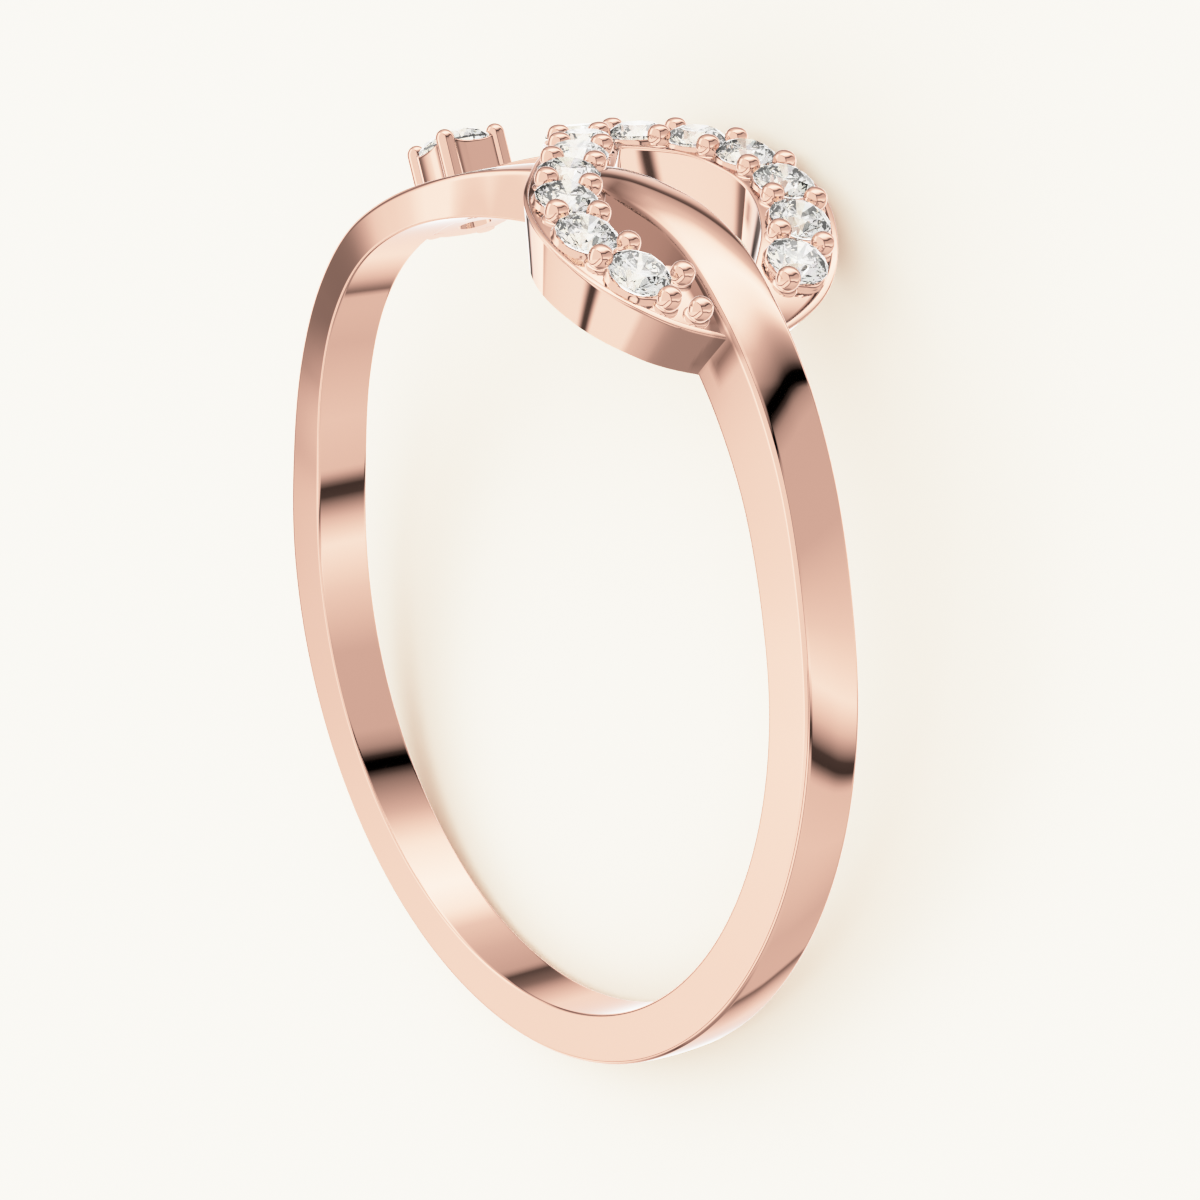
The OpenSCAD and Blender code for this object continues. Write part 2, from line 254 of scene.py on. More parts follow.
def mixed(tree, share, low, high):
    """A number that goes from low to high as the share goes from 0 to 1."""
    return add_node(tree, "ShaderNodeMix", share, None, low, high).outputs[0]


def side_panels(tree, near):
    """Brightness of the ring of panels, and how far the light points off the ring's axis."""
    turn = math.radians(TENT_TURN)
    along = tent_direction(tree, (math.cos(turn), math.sin(turn), 0))
    over = tent_direction(tree, (-math.sin(turn), math.cos(turn), 0))
    depth = maths(tree, "SUBTRACT", maths(tree, "MULTIPLY", near, -1.0), TENT_LEVEL)
    squeeze = maths(tree, "MULTIPLY_ADD", depth, -TENT_SPREAD, 1.0)
    squeeze = add_node(tree, "ShaderNodeClamp", squeeze, *TENT_LIMITS).outputs[0]
    angle = maths(tree, "ARCTAN2", maths(tree, "MULTIPLY", over, squeeze),
                  maths(tree, "DIVIDE", along, squeeze))
    off_axis = maths(tree, "MAXIMUM", maths(tree, "ABSOLUTE", along),
                     maths(tree, "ABSOLUTE", over))
    return panel_light(tree, maths(tree, "DEGREES", angle), TENT), off_axis


def dark_lines(tree, to_right, upward, past):
    """Share of the light left by the gap, the streak and the card."""
    gap = step(tree, maths(tree, "ABSOLUTE", past), *GAP_EDGE)
    gap = mixed(tree, step(tree, to_right, *GAP_START), 1.0, gap)
    beside = maths(tree, "ABSOLUTE", tent_direction(tree, STREAK))
    streak = maths(tree, "MAXIMUM", step(tree, beside, *STREAK_EDGE),
                   step(tree, upward, *STREAK_END))
    card = step(tree, tent_direction(tree, CARD), *CARD_EDGE)
    return maths(tree, "MULTIPLY", maths(tree, "MULTIPLY", streak, card), gap)


def tent_world():
    """World whose brightness is a ring of panels, closed by one panel on the near side."""
    world = bpy.data.worlds.new("light_tent")
    world.use_nodes = True
    tree = world.node_tree
    to_right, upward, near = (tent_direction(tree, axis) for axis in np.eye(3))
    sides, off_axis = side_panels(tree, near)
    front = mixed(tree, step(tree, upward, *NEAR_LOW), NEAR_PLAIN,
                  panel_light(tree, to_right, NEAR_PANEL))
    border = maths(tree, "MULTIPLY", off_axis, step(tree, to_right, *NEAR_BORDER))
    past = maths(tree, "SUBTRACT", near, border)
    level = mixed(tree, step(tree, past, -NEAR_SOFT, NEAR_SOFT), sides, front)
    level = maths(tree, "MULTIPLY", level, dark_lines(tree, to_right, upward, past))
    soft = add_node(tree, "ShaderNodeLightPath").outputs["Is Diffuse Ray"]
    fill = maths(tree, "MULTIPLY_ADD", soft, SOFT_FILL - 1, 1.0)
    background = tree.nodes["Background"]
    background.inputs["Color"].default_value = TENT_TINT
    tree.links.new(maths(tree, "MULTIPLY", level, fill), background.inputs["Strength"])
    bpy.context.scene.world = world


tent_world()
print("tent with", len(TENT), "stops round it")

# %% [markdown]
# ## Floor and tone
# The floor is a plain pale sheet. Mirrors would show it as one flat grey, so it is hidden
# from mirror rays and the metal sees the tent all round, as a ring on a glass stand does.
# The last step is the picture's tone. A camera rolls bright light off gently instead of
# cutting it, which turns bright gold pale. The curve is y = x / (1 + x^3)^(1/3).

# %% Floor and tone
FLOOR_SIZE = 3.0
FLOOR_COLOUR, FLOOR_ROUGH = (0.87, 0.81, 0.695, 1.0), 0.9
TONE_REACH = 4.0
TONE_STOPS = 17


def add_floor():
    """A square sheet at height 0, hidden from mirror rays."""
    h = FLOOR_SIZE / 2
    mesh = bpy.data.meshes.new("floor")
    mesh.from_pydata([(-h, -h, 0), (h, -h, 0), (h, h, 0), (-h, h, 0)], [], [(0, 1, 2, 3)])
    floor = bpy.data.objects.new("floor", mesh)
    bpy.context.scene.collection.objects.link(floor)
    paper = bpy.data.materials.new("pale_paper")
    paper.use_nodes = True
    shader = paper.node_tree.nodes["Principled BSDF"]
    shader.inputs["Base Color"].default_value = FLOOR_COLOUR
    shader.inputs["Roughness"].default_value = FLOOR_ROUGH
    shader.inputs["Specular IOR Level"].default_value = 0.0
    mesh.materials.append(paper)
    floor.visible_glossy = False


def set_tone():
    """A soft shoulder over the plain display transform, as a curve of linear light."""
    view = bpy.context.scene.view_settings
    view.view_transform = "Standard"
    view.look = "None"
    view.use_curve_mapping = True
    mapping = view.curve_mapping
    mapping.white_level = (TONE_REACH,) * 3
    light = np.linspace(0, 1, TONE_STOPS) ** 2 * TONE_REACH
    shown = light / (1 + light ** 3) ** (1 / 3)
    points = mapping.curves[3].points
    while len(points) < TONE_STOPS:
        points.new(0.5, 0.5)
    for point, x, y in zip(points, light / TONE_REACH, shown):
        point.location = (float(x), float(y))
    mapping.update()


add_floor()
set_tone()
print("floor of", FLOOR_SIZE, "m and a tone curve of", TONE_STOPS, "stops")

# %% [markdown]
# ## Rose gold
# Gold with copper in it is a pink metal, and a metal's colour lives in its reflection, so
# the shader is fully metallic. A hand polish is never perfect: it leaves a faint waviness
# and hairlines that dull the mirror a little here and there. Those come from a node group,
# because every metal piece wears them, and each material gives it its own amounts. Mirror
# rays don't see the metal itself, so the shade its own walls would give in narrow
# openings and corners is painted into the colour. Each piece carries a share of painted
# shade on its points, and the group mixes in a deep brown.

# %% Polish and painted shade as a node group
EDGE_TINT = (0.5, 0.48, 0.48, 1)
# Deep brown painted into the colour as shade in openings and corners
PAINTED_SHADE_COLOUR = (0.06, 0.022, 0.015, 1)
# Sizes of the noises: features a metre
CLOUDS, WAVES = 260.0, 420.0
HAIRS, HAIR_TURN, HAIR_SHARE = (9000.0, 1500.0, 5200.0), (0.3, 0.5, 0.2), (0.58, 0.78)
BUMP_STRENGTH, BUMP_HEIGHT = 0.5, 0.000003


def new_group(name, inputs, outputs):
    """An empty node group with named sockets, and its input and output nodes."""
    group = bpy.data.node_groups.new(name, "ShaderNodeTree")
    for socket, kind, value in inputs:
        item = group.interface.new_socket(socket, in_out="INPUT", socket_type=kind)
        if value is not None:
            item.default_value = value
    for socket, kind in outputs:
        group.interface.new_socket(socket, in_out="OUTPUT", socket_type=kind)
    return group, group.nodes.new("NodeGroupInput"), group.nodes.new("NodeGroupOutput")


def polish_and_painted_shade():
    """Colour with faint clouds and a painted shade, roughness with hairlines, low waviness as a
    height.
    """
    group, given, made = new_group(
        "polish_and_painted_shade",
        [("Colour", "NodeSocketColor", (1, 1, 1, 1)),
         ("Deeper Colour", "NodeSocketColor", (1, 1, 1, 1)),
         ("Polish", "NodeSocketFloat", 0.03), ("Hairlines", "NodeSocketFloat", 0.03),
         ("Waviness", "NodeSocketFloat", 1.0), ("Painted Shade", "NodeSocketFloat", 0.0)],
        [("Colour", "NodeSocketColor"), ("Roughness", "NodeSocketFloat"),
         ("Height", "NodeSocketFloat")])
    coords = add_node(group, "ShaderNodeTexCoord").outputs["Object"]
    cloud = add_node(group, "ShaderNodeTexNoise", coords, None, CLOUDS, 2.0, 0.5).outputs["Fac"]
    stretched = add_node(group, "ShaderNodeMapping", coords, None, HAIR_TURN,
                         HAIRS).outputs[0]
    hair = add_node(group, "ShaderNodeTexNoise", stretched, None, 1.0, 3.0, 0.6).outputs["Fac"]
    hair = step(group, hair, *HAIR_SHARE)
    wave = add_node(group, "ShaderNodeTexNoise", coords, None, WAVES, 1.0, 0.4).outputs["Fac"]
    tint = add_node(group, "ShaderNodeMix", cloud, None, None, None, None, None,
                    given.outputs["Colour"], given.outputs["Deeper Colour"], data_type="RGBA")
    # Mix towards the deep brown by the share of painted shade
    shaded = add_node(group, "ShaderNodeMix", given.outputs["Painted Shade"], None, None, None, None,
                      None, tint.outputs[2], PAINTED_SHADE_COLOUR, data_type="RGBA")
    rough = maths(group, "MULTIPLY_ADD", hair, given.outputs["Hairlines"], given.outputs["Polish"])
    group.links.new(shaded.outputs[2], made.inputs["Colour"])
    group.links.new(rough, made.inputs["Roughness"])
    group.links.new(maths(group, "MULTIPLY", wave, given.outputs["Waviness"]),
                    made.inputs["Height"])
    return group


def rose_gold(name, colour, deeper, polish, hairlines, waviness):
    """Metallic shader whose colour, roughness and bump come from the group of polish and painted
    shade.
    """
    material = bpy.data.materials.new(name)
    material.use_nodes = True
    tree = material.node_tree
    shader = tree.nodes["Principled BSDF"]
    shader.inputs["Metallic"].default_value = 1.0
    shader.inputs["Specular Tint"].default_value = EDGE_TINT
    # Share of painted shade that each point carries
    painted_shade = add_node(tree, "ShaderNodeAttribute", attribute_name="painted_shade").outputs["Fac"]
    worked = add_node(tree, "ShaderNodeGroup", colour, deeper, polish, hairlines, waviness,
                      painted_shade, node_tree=POLISH_AND_SHADE)
    bump = add_node(tree, "ShaderNodeBump", BUMP_STRENGTH, BUMP_HEIGHT)
    tree.links.new(worked.outputs["Height"], bump.inputs["Height"])
    tree.links.new(worked.outputs["Colour"], shader.inputs["Base Color"])
    tree.links.new(worked.outputs["Roughness"], shader.inputs["Roughness"])
    tree.links.new(bump.outputs["Normal"], shader.inputs["Normal"])
    return material


POLISH_AND_SHADE = polish_and_painted_shade()
GOLD = rose_gold("rose_gold_mirror", colour=(0.95, 0.545, 0.44, 1), deeper=(0.93, 0.525, 0.42, 1),
                 polish=0.035, hairlines=0.02, waviness=1.0)
print("materials", [m.name for m in bpy.data.materials])

# %% [markdown]
# ## Surfaces from grids
# Each metal piece is a grid of points worked out as whole arrays: one direction runs along
# the piece and the other round its section. One helper joins the neighbouring points into
# faces, closes the poles and turns the faces outwards. An array of several pieces of the
# same kind, such as beads, goes in as one block.

# %% Grid helper
JOIN_WITHIN = 0.0000004


def grid_faces(copies, rows, cols, wrap_rows, wrap_cols):
    """Four-sided faces between neighbouring points of each copy's grid."""
    r = np.arange(rows if wrap_rows else rows - 1)
    c = np.arange(cols if wrap_cols else cols - 1)
    k, i, j = np.meshgrid(np.arange(copies), r, c, indexing="ij")
    down, right = (i + 1) % rows, (j + 1) % cols
    corners = [(i, j), (down, j), (down, right), (i, right)]
    return np.stack([(k * rows + a) * cols + b for a, b in corners], -1).reshape(-1, 4)


# Painted shade in the loop's openings and beside the ribbon's tip: angle from and to, side from
# and to, distance from the axis from and to, depth
PAINTED_SHADE_BOXES = [
    (47.5, 77.0, -0.10, 0.60, 8.30, 9.72, 0.80),
    (69.0, 72.6, -3.00, -2.50, 8.55, 9.40, 1.00),
    (43.6, 49.0, 0.10, 0.60, 8.75, 9.75, 0.75),
]
PAINTED_SHADE_SOFT = np.array([2.5, 0.15, 0.12])


def painted_shade_share(points):
    """Largest depth of painted shade from the boxes round each point, soft at every side of a box.
    """
    at = np.stack([np.degrees(np.arctan2(points[:, 1], points[:, 0])), points[:, 2],
                   np.hypot(points[:, 0], points[:, 1])], 1)
    share = np.zeros(len(points))
    for row in PAINTED_SHADE_BOXES:
        low, high = np.array(row[0:6:2]), np.array(row[1:6:2])
        inside = np.minimum(at - low, high - at) / PAINTED_SHADE_SOFT
        share = np.maximum(share, row[6] * np.clip(inside, 0, 1).min(1))
    return share


def surface(name, grids, material, sharp=40.0):
    """Adds a piece made of grids of ring millimetres. A grid is a row of points, whether its
    rows close, whether its columns close, and perhaps the depth of painted shade at each point."""
    points, faces, painted_shade_depths = np.zeros((0, 3)), [], []
    for grid, wrap_rows, wrap_cols, *depth in grids:
        grid = grid.reshape((-1,) + grid.shape[-3:])
        faces.append(grid_faces(*grid.shape[:3], wrap_rows, wrap_cols) + len(points))
        painted_shade_depths.append(depth[0].ravel() if depth else np.zeros(grid.size // 3))
        points = np.concatenate([points, grid.reshape(-1, 3)])
    mesh = bpy.data.meshes.new(name)
    mesh.from_pydata(laid(points), [], np.concatenate(faces))
    # Share of painted shade on each point: the boxes and each grid's own depths
    painted_shade = mesh.attributes.new("painted_shade", "FLOAT", "POINT")
    painted_shade_depths = np.maximum(painted_shade_share(points), np.concatenate(painted_shade_depths))
    painted_shade.data.foreach_set("value", painted_shade_depths.astype(np.float32))
    work = bmesh.new()
    work.from_mesh(mesh)
    bmesh.ops.remove_doubles(work, verts=work.verts, dist=JOIN_WITHIN)
    bmesh.ops.holes_fill(work, edges=work.edges, sides=0)
    bmesh.ops.recalc_face_normals(work, faces=work.faces)
    work.to_mesh(mesh)
    work.free()
    mesh.polygons.foreach_set("use_smooth", np.ones(len(mesh.polygons), bool))
    mesh.set_sharp_from_angle(angle=math.radians(sharp))
    mesh.materials.append(material)
    piece = bpy.data.objects.new(name, mesh)
    bpy.context.scene.collection.objects.link(piece)
    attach(piece, "root")
    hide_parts("ring_body")
    piece.visible_glossy = False
    piece.visible_transmission = False
    print(name, "points", len(mesh.vertices), "faces", len(mesh.polygons))


# %% [markdown]
# ## The plain band
# The band is one rolled strip of metal: flat inside, a crowned outer face, and edges that
# were broken with a stone so that they don't cut. A Bevel modifier could round the edges,
# but the swing of the band would stretch it, so the rounding is drawn into the section
# instead. The section is a closed loop of points, each a share of the width and of the
# thickness plus an offset, and a smooth curve through a short table carries it round.

# %% Band
EDGE_R = 0.10
HOLE_EDGE_R = 0.05
CROWN = 0.035
# Extra crown where the band crosses the ribbon: angle, height
CROSS_CROWN = np.array([[-90, 0], [40, 0], [52, 0.07], [72, 0.09], [86, 0.03], [100, 0], [270, 0]])
BAND_STATIONS = 720
ARC_STEPS = 7
FLAT_SHARES = np.array([0.02, 0.1, 0.25, 0.4, 0.5, 0.6, 0.75, 0.9, 0.98])


def smooth_column(table, angle, column):
    """Cubic through a table's column: the slope at a row is that of its two neighbours."""
    x, y = table[:, 0], table[:, column]
    slope = np.zeros(len(x))
    slope[1:-1] = (y[2:] - y[:-2]) / (x[2:] - x[:-2])
    i = np.clip(np.searchsorted(x, angle, side="right") - 1, 0, len(x) - 2)
    h = x[i + 1] - x[i]
    s = (angle - x[i]) / h
    return (y[i] * (1 + 2 * s) * (1 - s) ** 2 + y[i + 1] * s * s * (3 - 2 * s)
            + h * s * (1 - s) * (slope[i] * (1 - s) - slope[i + 1] * s))


def rounded_loop(corners, steps=ARC_STEPS, flats=FLAT_SHARES):
    """Closed loop round corners (coefficients, offset, radius, turn): arcs joined by flats.

    A corner is a row of coefficients plus a plain offset. Its arc starts at the turn angle
    and sweeps a quarter circle, and points on the flats are shares of the way between arcs.
    """
    arcs = []
    for coeffs, inset, radius, turn in corners:
        a = np.radians(turn) + np.linspace(0, np.pi / 2, steps)
        offset = np.array(inset) + radius * np.stack([np.cos(a), np.sin(a)], 1)
        arcs.append(np.concatenate([np.tile(coeffs, (steps, 1)), offset], 1))
    loop = []
    for arc, following in zip(arcs, arcs[1:] + arcs[:1]):
        t = flats[:, None]
        loop += [arc, arc[-1] * (1 - t) + following[0] * t]
    return np.concatenate(loop)


def band_loop():
    """Band section: columns are shares of half width and thickness, then offsets."""
    e, h = EDGE_R, HOLE_EDGE_R
    return rounded_loop([
        ((1, 0), (-h, h), h, -90), ((1, 1), (-e, -e), e, 0),
        ((-1, 1), (e, -e), e, 90), ((-1, 0), (h, h), h, 180),
    ])


def heading(step_angle, step_side, radius):
    """Direction of travel as round and side parts of length 1."""
    round_part = np.radians(step_angle) * radius
    length = np.hypot(round_part, step_side)
    return round_part / length, step_side / length


def band_surface():
    """Section loop at each station, turned across the band's travel, crowned at the top."""
    angle = -90 + np.arange(BAND_STATIONS) * 360 / BAND_STATIONS
    side, thick, width = (smooth_column(BAND, angle, c) for c in (1, 2, 3))
    slope = np.gradient(np.concatenate([side[-1:], side, side[:1]]))[1:-1]
    go_round, go_side = heading(360 / BAND_STATIONS, slope, BORE_R + SET_FACE)
    loop = band_loop()
    half = width[:, None] / 2
    out = loop[:, 0] * half + loop[:, 2]
    height = loop[:, 1] * thick[:, None] + loop[:, 3]
    crown = CROWN + np.interp(angle, CROSS_CROWN[:, 0], CROSS_CROWN[:, 1])[:, None]
    crown = crown * (out / half) ** 2
    height = height - np.where(height > thick[:, None] / 2, crown, 0)
    turn = np.degrees(out * -go_side[:, None] / (BORE_R + SET_FACE))
    return place(angle[:, None] + turn, side[:, None] + out * go_round[:, None], BORE_R + height)


surface("plain_band", [(band_surface(), True, True)], GOLD)

# %% [markdown]
# ## Smooth curves through few points
# The eye finds the smallest kink in a polished edge, because the reflections jump there. A
# draughtsman's bent spline has no kinks: it takes the curve of least bending through its
# pins. The same curve in numbers is a natural cubic. The pins are the rows of a short
# table, spaced by the distances between them.

# %% Bent spline
FACE_R = BORE_R + SET_FACE


def round_mm(angle):
    """Distance round the ring's face that an angle stands for."""
    return np.radians(angle) * FACE_R


def bent_spline(table, count):
    """Natural cubic through the rows. The bending at the inner rows solves one system, and
    the ends don't bend. Returns count rows at even steps of length, and the rows' steps."""
    y = np.array(table, float)
    steps = np.hypot(round_mm(np.diff(y[:, 0])), np.diff(y[:, 1]))
    x = np.concatenate([[0], np.cumsum(steps)])
    bend = np.zeros_like(y)
    system = (np.diag(2 * (steps[:-1] + steps[1:])) + np.diag(steps[1:-1], 1)
              + np.diag(steps[1:-1], -1))
    slopes = np.diff(y, axis=0) / steps[:, None]
    bend[1:-1] = np.linalg.solve(system, 6 * np.diff(slopes, axis=0))
    s = np.linspace(0, x[-1], count)
    i = np.clip(np.searchsorted(x, s, side="right") - 1, 0, len(x) - 2)
    h = steps[i, None]
    a, b = (x[i + 1] - s)[:, None] / h, (s - x[i])[:, None] / h
    return (a * y[i] + b * y[i + 1]
            + ((a ** 3 - a) * bend[i] + (b ** 3 - b) * bend[i + 1]) * h ** 2 / 6)


def across(point, go, out):
    """Place moved across the travel by out, towards its left."""
    return np.stack([point[..., 0] - np.degrees(go[1] * out / FACE_R),
                     point[..., 1] + go[0] * out], -1)


print("a face of radius", FACE_R, "mm")

# %% [markdown]
# ## The stone-set ribbon
# The setter's ribbon has a raised lip along its outer edge, a floor beside it, and a cone
# cut for each stone. Cutting with a Boolean would leave long thin faces, and a mirror
# shows every one of them. So the floor is a fine grid whose height is the lower of two
# surfaces: the floor itself, and the cone of the nearest stone's seat. The ribbon's two
# edges are bent splines, and the section is drawn between them.

# %% Set ribbon
# Tips under the band: angle and side of the outer edge, angle and side of the inner edge
NEAR_TIP = [[46.4, -0.15, 46.7, -0.25], [48.6, 0.82, 51.5, 0.02], [50.4, 1.33, 55.5, 0.12],
            [52.8, 1.78, 58.8, 0.38]]
FAR_TIP = [[50.3, -2.15, 57.0, -1.25], [48.8, -1.69, 53.5, -0.80], [47.6, -1.22, 50.3, -0.62],
           [46.4, -0.62, 46.7, -0.62]]
SET_HALF = 0.77
OUTER_HALF = SET_HALF + np.array([0.13, 0.11, 0.06, 0, 0, 0, 0, 0, 0, 0, 0.02, 0.03, 0.02])
# Lean of the two walls: share of the length, outer, inner
LEAN = np.array([[0, 0.14, 0.20], [0.07, 0.18, 0.20], [0.15, 0.30, 0.20], [1, 0.30, 0.20]])
LIP_ROUND = 0.035
# Lip along the ribbon: share of the length, width, height above the floor beside it
LIP = np.array([[0, 0.19, 0.10], [0.12, 0.15, 0.08], [0.3, 0.09, 0.035], [0.5, 0.07, 0.03],
                [0.7, 0.09, 0.035], [0.88, 0.15, 0.08], [1, 0.17, 0.10]])
# Painted shade in the corner at the lip's foot: share of the length and depth, then grid column
# and depth
LIP_SHADE_ALONG = np.array([[0, 1.0], [0.1, 0.9], [0.25, 0.35], [0.6, 0.35], [0.8, 0.9], [1, 1.0]])
LIP_SHADE_COLUMNS = np.array([[27, 0], [29, 1], [39, 1], [41, 0]])
INNER_DROP = 0.02
CROTCH = np.array([89.0, -1.72])
CROTCH_R = 0.1
STONE_D, STONE_RISE, SEAT_GAP = 1.25, 0.13, 0.008
# Cut of every stone, as shares of its width: depth under the girdle's middle, half girdle
PAVILION, GIRDLE = 0.46, 0.03
SEAT_FLOOR = 0.2
RIBBON_STATIONS = 560
# Columns of the ribbon's section: where the floor starts, and how many it has
FLOOR_START, FLOOR_COLS = 39, 44
BOTTOM = np.linspace(0.03, 0.97, 12)
WALL = np.array([0, 0.03, 0.25, 0.5, 0.75, 0.97])
LEAST_WIDTH = 0.02


def ribbon_edges():
    """Rows of outer and inner edge: the tips, and between them the stones' line moved
    outwards and inwards. Round the turn the inner edge is a small arc."""
    ahead = np.gradient(STONES, axis=0)
    go = heading(ahead[:, 0], ahead[:, 1], FACE_R)
    outer = across(STONES, go, OUTER_HALF)
    inner = across(STONES, go, -SET_HALF * np.ones(len(STONES)))
    near_turn = slice(TURN - 1, TURN + 2)
    toward = heading(*(STONES[near_turn] - CROTCH).T, FACE_R)
    inner[near_turn] = CROTCH + CROTCH_R * np.stack([np.degrees(toward[0] / FACE_R), toward[1]], 1)
    return np.concatenate([NEAR_TIP, np.concatenate([outer, inner], 1)[:-1], FAR_TIP])


def seat_height(points):
    """Distance from the finger hole's axis down to the nearest stone's seat cone."""
    a = np.radians(STONES[:, 0])
    p = points[..., None, :]
    out = p[..., 0] * np.cos(a) + p[..., 1] * np.sin(a)
    beside = p[..., 1] * np.cos(a) - p[..., 0] * np.sin(a)
    reach = np.hypot(beside, p[..., 2] - STONES[:, 1])
    deep = STONE_D * PAVILION + 2 * SEAT_GAP
    rim = STONE_D / 2 + SEAT_GAP
    girdle = STONE_D * GIRDLE + SEAT_GAP
    cone = FACE_R + STONE_RISE - deep + reach * (deep - girdle) / rim
    return np.where((reach < rim) & (out > 0), cone, 99.0).min(-1)


def ribbon_section(edges, face, low, leans, lip, drop):
    """Section between the edge rows: bottom, outer wall, lip, step, floor and inner wall.

    Columns are a distance from the inner edge and a distance from the finger hole's axis.
    Walls lean in towards the finger, and each corner is a small quarter circle.
    """
    outer, inner = edges[:, :2], edges[:, 2:]
    width = np.hypot(round_mm(outer[:, 0] - inner[:, 0]), outer[:, 1] - inner[:, 1])
    w = np.maximum(width, LEAST_WIDTH)[:, None]
    lip_w, deep = np.minimum(lip[:, :1], w / 4), lip[:, 1:]
    b = np.minimum(LIP_ROUND, w / 10)
    c = np.minimum(b, deep * 0.45)
    arc, t = np.linspace(0, np.pi / 2, ARC_STEPS), np.linspace(0, 1, FLOOR_COLS)
    up, over, flat = np.cos(arc), np.sin(arc), 0 * w
    foot, top = face - deep, face - drop
    parts = [
        (w * BOTTOM, low + flat),
        (w + 0 * WALL, low + (face - b - low) * WALL),
        (w - b * (1 - up), face - b + b * over),
        (w - lip_w + b * (1 - over), face - b + b * up),
        (w - lip_w - c * (1 - up), foot + c * (1 - over)),
        (w - lip_w - c + (b - w + lip_w + c) * t, foot + (top - foot) * t),
        (b * (1 - over), top - b + b * up),
        (flat + 0 * WALL, low + (top - b - low) * WALL[::-1]),
    ]
    wide = [np.broadcast_to(p, (len(w), max(np.shape(p)[1], np.shape(q)[1]))) for p, q in parts]
    out = np.concatenate(wide, 1)
    radius = np.concatenate([np.broadcast_to(q, p.shape) for p, (_, q) in zip(wide, parts)], 1)
    lean = (face - radius) / (face - BORE_R)
    outer_side = out > w / 2
    shift = np.where(outer_side, -leans[:, :1], leans[:, 1:]) * np.clip(lean, 0, 1)
    is_wall = (out > w - 1e-6) | (out < 1e-6) | (radius < low + 1e-6)
    out = out + np.where(is_wall, np.clip(shift, -w / 4, w / 4), 0)
    spot = inner[:, None] + (outer - inner)[:, None] * (out / w)[..., None]
    return place(spot[..., 0], spot[..., 1], radius)


def set_ribbon_grid():
    """The looping ribbon with the seats sunk into its floor."""
    edges = bent_spline(ribbon_edges(), RIBBON_STATIONS)
    share = np.linspace(0, 1, RIBBON_STATIONS)
    lip, leans = (np.stack([np.interp(share, table[:, 0], table[:, c]) for c in (1, 2)], 1)
                  for table in (LIP, LEAN))
    grid = ribbon_section(edges, FACE_R, BORE_R, leans, lip, INNER_DROP)
    floor = grid[:, FLOOR_START:FLOOR_START + FLOOR_COLS]
    radius = np.hypot(floor[..., 0], floor[..., 1])
    sunk = np.minimum(radius, np.maximum(seat_height(floor), BORE_R + SEAT_FLOOR))
    floor[..., :2] *= (sunk / radius)[..., None]
    return grid


def lip_painted_shade(count, columns):
    """Depth of painted shade in the corner at the lip's foot, deepest towards both tips."""
    along = np.interp(np.linspace(0, 1, count), *LIP_SHADE_ALONG.T)
    over = np.interp(np.arange(columns), *LIP_SHADE_COLUMNS.T)
    return along[:, None] * over


ribbon_grid = set_ribbon_grid()
# The lip's foot carries a painted shade, deepest towards both tips
surface("set_ribbon", [(ribbon_grid, False, True, lip_painted_shade(*ribbon_grid.shape[:2]))], GOLD)

# %% [markdown]
# ## Beads
# The setter raises a bead of metal beside each stone and pushes it over the stone's edge.
# The tool leaves a round dome on a spread foot. A bead is a profile turned round its own
# axis: a dome of radius r, then a groove and a rounded disc. The metal is also pushed up
# against each stone in a thin collar, which is another turned profile. All the beads are one
# array, because they are the same shape in many places.

# %% Beads
BEAD_R, BEAD_FOOT, BEAD_H = 0.24, 0.27, 0.26
BEAD_OUT, BEAD_FAR = 0.42, 0.46
BEAD_SIDES = 40
BEAD_BLUNT = 0.05
DISC_UP, DISC_ROUND = 0.10, 0.07


def bead_places():
    """Angle and side of every bead: two between neighbouring stones, one inside the turn."""
    middle = (STONES[:-1] + STONES[1:]) / 2
    gap = STONES[1:] - STONES[:-1]
    go = heading(gap[:, 0], gap[:, 1], FACE_R)
    before_turn = np.arange(len(middle)) < TURN
    outside = across(middle, go, np.where(before_turn, BEAD_OUT, BEAD_FAR))
    inside = across(middle, go, np.full(len(middle), -BEAD_OUT))
    keep = [i for i in range(len(middle)) if i not in (TURN - 1, TURN)]
    crotch = STONES[TURN - 1:TURN + 2].mean(0, keepdims=True)
    return np.concatenate([outside, inside[keep], crotch, END_BEADS])


def turned(places, radius, profile, sides):
    """Profile rows (distance from its axis, height) turned at each place on the ring."""
    t = np.linspace(0, 2 * np.pi, sides, endpoint=False)
    out = profile[:, None, 0] * np.cos(t)
    beside = profile[:, None, 0] * np.sin(t)
    height = radius + profile[:, None, 1] + 0 * t
    a = np.radians(places[:, 0])[:, None, None]
    return np.stack([height * np.cos(a) - beside * np.sin(a),
                     height * np.sin(a) + beside * np.cos(a),
                     places[:, 1][:, None, None] + out + 0 * a], -1)


def bead_profile():
    """Dome from its pole down past its widest, then a rounded disc under it."""
    d = np.radians(np.linspace(0, 128, 18))
    blunt = 1 - BEAD_BLUNT * np.clip(np.sin(2 * d), 0, 1) ** 2
    dome = [0, BEAD_H] + BEAD_R * np.stack([np.sin(d), np.cos(d)] / blunt, 1)
    q = np.linspace(0, np.pi / 2, 7)
    disc = np.stack([BEAD_FOOT - DISC_ROUND * (1 - np.sin(q)),
                     DISC_UP - DISC_ROUND * (1 - np.cos(q))], 1)
    return np.concatenate([dome, disc, [[BEAD_FOOT, -0.02]]])


COLLAR_SIDES = 96
